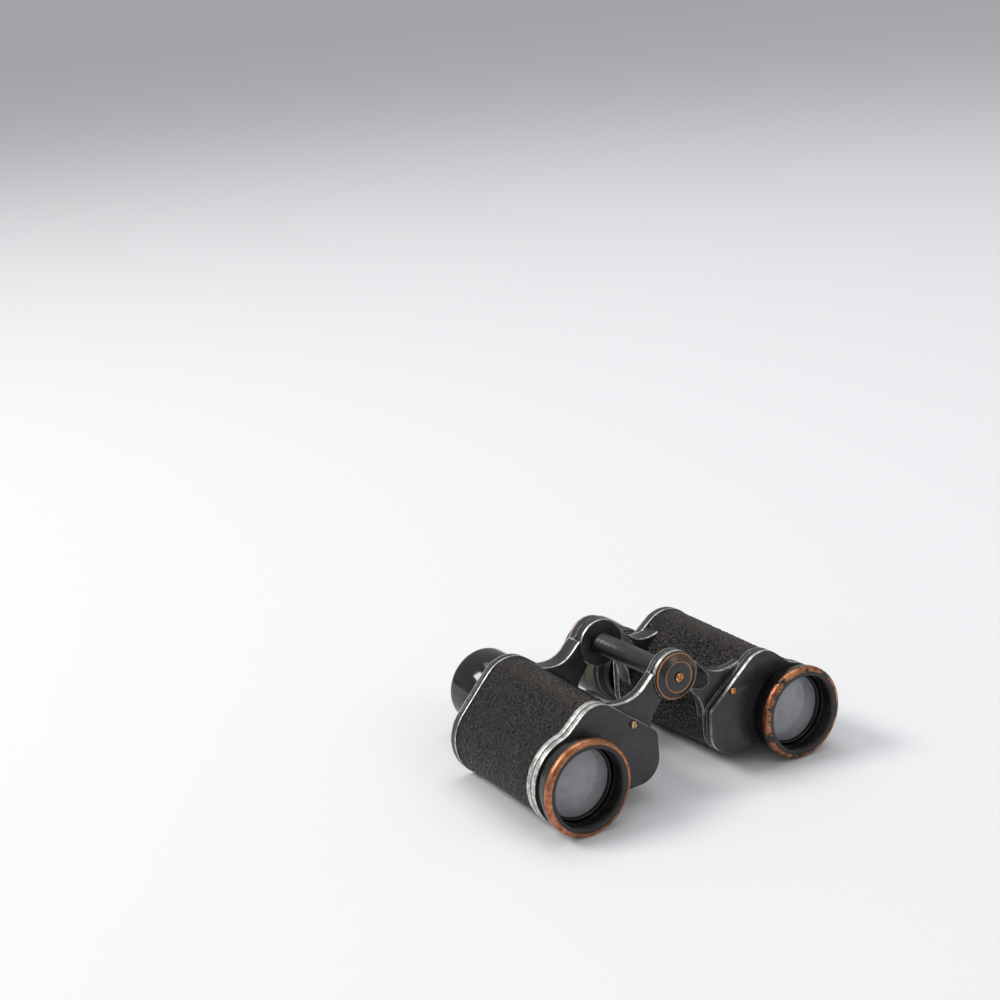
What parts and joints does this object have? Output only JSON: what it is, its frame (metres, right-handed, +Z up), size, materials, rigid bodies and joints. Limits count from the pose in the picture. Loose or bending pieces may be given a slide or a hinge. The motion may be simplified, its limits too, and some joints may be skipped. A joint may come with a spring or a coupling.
{
  "type": "binoculars",
  "caption": "Porro prism binoculars with leatherette barrels, individually focused eyepieces, flared eyecups and a folding hinge between stepped prism housings.",
  "frame": {"origin": "centre of the bounding box in plan, at the level of the table it stands on", "axes": "+X to the right barrel, +Y from the objectives to the eyepieces, +Z up"},
  "size_m": [0.1466, 0.1204, 0.0571],
  "materials": {
    "black_enamel": "satin stoving enamel, worn to bare alloy on edges",
    "leatherette": "pebbled vulcanite leatherette",
    "lacquered_brass": "black lacquer worn to brown brass",
    "blackened_brass": "gloss black lacquer on brass",
    "brass": "tarnished",
    "spring_steel": "blued and oiled",
    "bakelite": "polished moulding",
    "lens_glass": "polished, uncoated"
  },
  "bodies": {
    "left_barrel": {"left_housing": "black_enamel", "left_leatherette": "leatherette", "left_front_cover_plate": "black_enamel", "left_rear_cover_plate": "black_enamel", "left_front_cover_screw": "brass", "left_rear_cover_screw": "brass", "left_objective_tube": "lacquered_brass", "left_objective_lens": "lens_glass", "left_objective_retaining_ring": "blackened_brass", "left_front_prism": "lens_glass", "left_rear_prism": "lens_glass", "left_prism_shelf": "black_enamel", "left_front_prism_clip": "spring_steel", "left_rear_prism_clip": "spring_steel", "left_eyepiece_neck": "lacquered_brass", "hinge_tube": "black_enamel", "axle_pin": "spring_steel", "front_hinge_cap": "lacquered_brass", "rear_hinge_cap": "lacquered_brass", "front_hinge_screw": "brass", "rear_hinge_screw": "brass"},
    "right_barrel": {"right_housing": "black_enamel", "right_leatherette": "leatherette", "right_front_cover_plate": "black_enamel", "right_rear_cover_plate": "black_enamel", "right_front_cover_screw": "brass", "right_rear_cover_screw": "brass", "right_objective_tube": "lacquered_brass", "right_objective_lens": "lens_glass", "right_objective_retaining_ring": "blackened_brass", "right_front_prism": "lens_glass", "right_rear_prism": "lens_glass", "right_prism_shelf": "black_enamel", "right_front_prism_clip": "spring_steel", "right_rear_prism_clip": "spring_steel", "right_eyepiece_neck": "lacquered_brass"},
    "left_eyepiece_carriage": {"left_eyepiece_tube": "blackened_brass", "left_field_lens": "lens_glass", "left_eye_lens": "lens_glass"},
    "left_focus_grip": {"left_focus_ring": "blackened_brass", "left_eyecup": "bakelite"},
    "right_eyepiece_carriage": {"right_eyepiece_tube": "blackened_brass", "right_field_lens": "lens_glass", "right_eye_lens": "lens_glass"},
    "right_focus_grip": {"right_focus_ring": "blackened_brass", "right_eyecup": "bakelite"}
  },
  "joints": [
    {"name": "barrel_fold", "type": "hinge", "parent": "left_barrel", "child": "right_barrel", "pos_m": [0, -0.01561, 0.04595], "axis": [0, 0.9994, -0.0353], "range_deg": [-50, 10]},
    {"name": "left_eyepiece_travel", "type": "slide", "parent": "left_barrel", "child": "left_eyepiece_carriage", "axis": [0, 0.9994, -0.0353], "range_m": [-0.003, 0.003]},
    {"name": "left_focus_turn", "type": "hinge", "parent": "left_eyepiece_carriage", "child": "left_focus_grip", "pos_m": [-0.0295, 0.03245, 0.01824], "axis": [0, 0.9994, -0.0353], "range_deg": [-120, 120]},
    {"name": "right_eyepiece_travel", "type": "slide", "parent": "right_barrel", "child": "right_eyepiece_carriage", "axis": [0, 0.9994, -0.0353], "range_m": [-0.003, 0.003]},
    {"name": "right_focus_turn", "type": "hinge", "parent": "right_eyepiece_carriage", "child": "right_focus_grip", "pos_m": [0.0295, 0.03245, 0.01824], "axis": [0, 0.9994, -0.0353], "range_deg": [-120, 120]}
  ],
  "couplings": [
    {"joint": "left_eyepiece_travel", "follows": "left_focus_turn", "m_per_rad": 0.0014},
    {"joint": "right_eyepiece_travel", "follows": "right_focus_turn", "m_per_rad": 0.0014}
  ]
}
